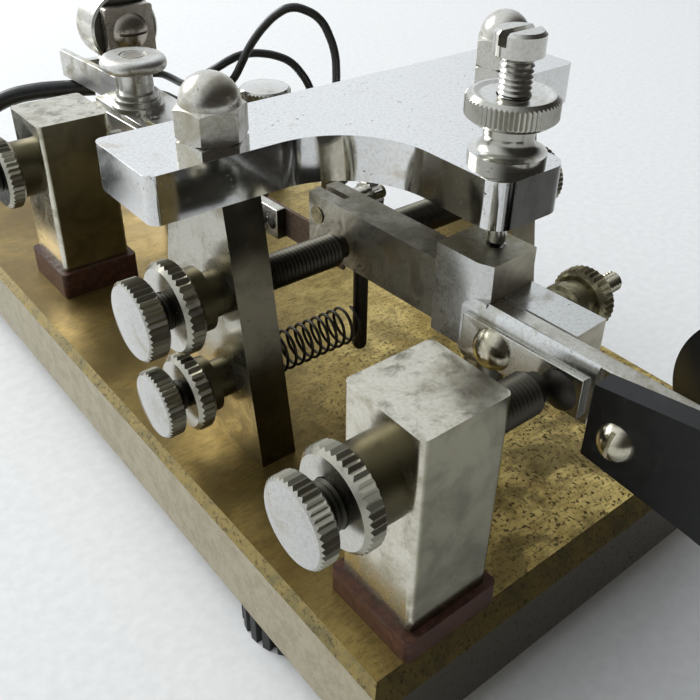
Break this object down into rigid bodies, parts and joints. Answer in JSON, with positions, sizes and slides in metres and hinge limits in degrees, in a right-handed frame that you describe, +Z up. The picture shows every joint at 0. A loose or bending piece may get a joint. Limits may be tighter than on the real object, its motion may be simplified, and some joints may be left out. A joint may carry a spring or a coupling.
{
  "type": "semi-automatic telegraph key",
  "caption": "Semi-automatic Morse telegraph key: brass base, bridge over a sprung lever with vibrating pendulum, insulated contact posts with thumb screws, finger pieces and a lead with plug.",
  "frame": {"origin": "on the table under the middle of the key's outline, its lead left out", "axes": "+X to the operator's right, +Y away from the operator, +Z up"},
  "size_m": [0.1347, 0.2509, 0.08],
  "materials": {
    "brass_plate": "satin, tarnished",
    "bright_nickel": "polished",
    "worn_nickel": "satin, worn plating",
    "dark_steel": "satin",
    "rusty_steel": "matt, rusty",
    "old_brass": "dull",
    "red_fibre": "matt",
    "black_rubber": "matt",
    "black_plastic": "polished",
    "plug_metal": "polished"
  },
  "bodies": {
    "frame": {"base_plate": "brass_plate", "bridge_plate": "bright_nickel", "acorn_nuts": "bright_nickel", "left_pillar": "worn_nickel", "right_pillar": "worn_nickel", "dash_post": "worn_nickel", "dot_post": "worn_nickel", "damper_bracket": "worn_nickel", "damper_post": "worn_nickel", "damper_boss": "worn_nickel", "damper_pins": "worn_nickel", "lower_pivot": "worn_nickel", "return_spring": "dark_steel", "bridge_studs": "dark_steel", "base_screws": "dark_steel", "foot_screws": "dark_steel", "terminal_posts": "old_brass", "dash_pad": "red_fibre", "dot_pad": "red_fibre", "post_bushes": "red_fibre", "rubber_feet": "black_rubber", "lead_wires": "black_rubber", "lead_cord": "black_rubber", "cord_coil": "black_rubber", "jack_plug": "plug_metal"},
    "lever": {"pivot_block": "bright_nickel", "lever_bar": "worn_nickel", "finger_arm": "dark_steel", "contact_strip": "worn_nickel", "contact_dome": "dark_steel", "arm_screw": "old_brass", "thumb_paddle": "black_plastic", "paddle_screw": "bright_nickel", "finger_knob": "black_plastic", "spring_pin": "dark_steel", "clamp_screw": "old_brass"},
    "pendulum": {"flat_spring": "rusty_steel", "pendulum_strip": "worn_nickel", "pendulum_rivets": "dark_steel", "dot_contact": "old_brass"},
    "weight": {"speed_weight": "worn_nickel"},
    "turn_weight_screw": {"weight_screw": "worn_nickel"},
    "turn_arm_nut": {"arm_nut": "old_brass"},
    "turn_clamp_nut": {"clamp_nut": "worn_nickel"},
    "turn_top_pivot_screw": {"top_pivot_screw": "dark_steel"},
    "turn_pivot_lock_nut": {"pivot_lock_nut": "worn_nickel"},
    "turn_left_stop_screw": {"left_stop_screw": "bright_nickel"},
    "turn_left_stop_nut": {"left_stop_nut": "worn_nickel"},
    "turn_right_stop_screw": {"right_stop_screw": "bright_nickel"},
    "turn_right_stop_nut": {"right_stop_nut": "worn_nickel"},
    "turn_tension_screw": {"tension_screw": "dark_steel"},
    "turn_tension_nut": {"tension_nut": "worn_nickel"},
    "turn_dash_screw": {"dash_screw": "bright_nickel"},
    "turn_dash_nut": {"dash_nut": "worn_nickel"},
    "turn_dot_screw": {"dot_screw": "bright_nickel"},
    "turn_dot_nut": {"dot_nut": "worn_nickel"},
    "turn_damper_knob": {"damper_knob": "worn_nickel"},
    "turn_damper_disc": {"damper_disc": "bright_nickel"},
    "turn_rear_terminal_nut": {"rear_terminal_nut": "old_brass"},
    "turn_front_terminal_nut": {"front_terminal_nut": "old_brass"}
  },
  "joints": [
    {"name": "lever_swing", "type": "hinge", "parent": "frame", "child": "lever", "pos_m": [0.0025, -0.04615, 0.0455], "axis": [0, 0, 1], "range_deg": [-0.9, 1.3], "stiffness_Nm_per_rad": 0.05, "deforming": ["return_spring"]},
    {"name": "pendulum_swing", "type": "hinge", "parent": "lever", "child": "pendulum", "pos_m": [-0.00007, -0.01194, 0.0381], "axis": [0, 0, 1], "range_deg": [0, 1.2], "stiffness_Nm_per_rad": 0.03},
    {"name": "weight_slide", "type": "slide", "parent": "pendulum", "child": "weight", "axis": [-0.0489, 0.9988, 0], "range_m": [-0.004, 0.004]},
    {"name": "weight_screw_turn", "type": "hinge", "parent": "weight", "child": "turn_weight_screw", "pos_m": [-0.00258, 0.01467, 0.0445], "axis": [0, 0, 1], "continuous": true},
    {"name": "arm_nut_turn", "type": "hinge", "parent": "lever", "child": "turn_arm_nut", "pos_m": [0.00993, -0.0527, 0.0424], "axis": [0.9988, 0.0489, 0], "continuous": true},
    {"name": "clamp_nut_turn", "type": "hinge", "parent": "lever", "child": "turn_clamp_nut", "pos_m": [0.00502, -0.01379, 0.0451], "axis": [0.9988, 0.0489, 0], "continuous": true},
    {"name": "top_pivot_screw_turn", "type": "hinge", "parent": "frame", "child": "turn_top_pivot_screw", "pos_m": [0.0025, -0.04615, 0.0685], "axis": [0, 0, 1], "continuous": true},
    {"name": "pivot_lock_nut_turn", "type": "hinge", "parent": "frame", "child": "turn_pivot_lock_nut", "pos_m": [0.0025, -0.04615, 0.0685], "axis": [0, 0, 1], "continuous": true},
    {"name": "left_stop_screw_turn", "type": "hinge", "parent": "frame", "child": "turn_left_stop_screw", "pos_m": [-0.02835, -0.02109, 0.0428], "axis": [1, 0, 0], "continuous": true},
    {"name": "left_stop_nut_turn", "type": "hinge", "parent": "frame", "child": "turn_left_stop_nut", "pos_m": [-0.02835, -0.02109, 0.0428], "axis": [1, 0, 0], "continuous": true},
    {"name": "right_stop_screw_turn", "type": "hinge", "parent": "frame", "child": "turn_right_stop_screw", "pos_m": [0.03165, -0.02109, 0.0428], "axis": [1, 0, 0], "continuous": true},
    {"name": "right_stop_nut_turn", "type": "hinge", "parent": "frame", "child": "turn_right_stop_nut", "pos_m": [0.03165, -0.02109, 0.0428], "axis": [1, 0, 0], "continuous": true},
    {"name": "tension_screw_turn", "type": "hinge", "parent": "frame", "child": "turn_tension_screw", "pos_m": [-0.02835, -0.02109, 0.0283], "axis": [1, 0, 0], "continuous": true},
    {"name": "tension_nut_turn", "type": "hinge", "parent": "frame", "child": "turn_tension_nut", "pos_m": [-0.02835, -0.02109, 0.0283], "axis": [1, 0, 0], "continuous": true},
    {"name": "dash_screw_turn", "type": "hinge", "parent": "frame", "child": "turn_dash_screw", "pos_m": [-0.02835, -0.06199, 0.0422], "axis": [1, 0, 0], "continuous": true},
    {"name": "dash_nut_turn", "type": "hinge", "parent": "frame", "child": "turn_dash_nut", "pos_m": [-0.02835, -0.06199, 0.0422], "axis": [1, 0, 0], "continuous": true},
    {"name": "dot_screw_turn", "type": "hinge", "parent": "frame", "child": "turn_dot_screw", "pos_m": [-0.02835, 0.03501, 0.0422], "axis": [1, 0, 0], "continuous": true},
    {"name": "dot_nut_turn", "type": "hinge", "parent": "frame", "child": "turn_dot_nut", "pos_m": [-0.02835, 0.03501, 0.0422], "axis": [1, 0, 0], "continuous": true},
    {"name": "damper_knob_turn", "type": "hinge", "parent": "frame", "child": "turn_damper_knob", "pos_m": [0.00465, 0.06191, 0.0435], "axis": [0, 0, 1], "continuous": true},
    {"name": "damper_disc_turn", "type": "hinge", "parent": "frame", "child": "turn_damper_disc", "pos_m": [0.01325, 0.08691, 0.0485], "axis": [0, 1, 0], "continuous": true},
    {"name": "rear_terminal_nut_turn", "type": "hinge", "parent": "frame", "child": "turn_rear_terminal_nut", "pos_m": [0.03045, 0.05131, 0.0335], "axis": [0, 0, 1], "continuous": true},
    {"name": "front_terminal_nut_turn", "type": "hinge", "parent": "frame", "child": "turn_front_terminal_nut", "pos_m": [0.03045, 0.02691, 0.0335], "axis": [0, 0, 1], "continuous": true}
  ]
}
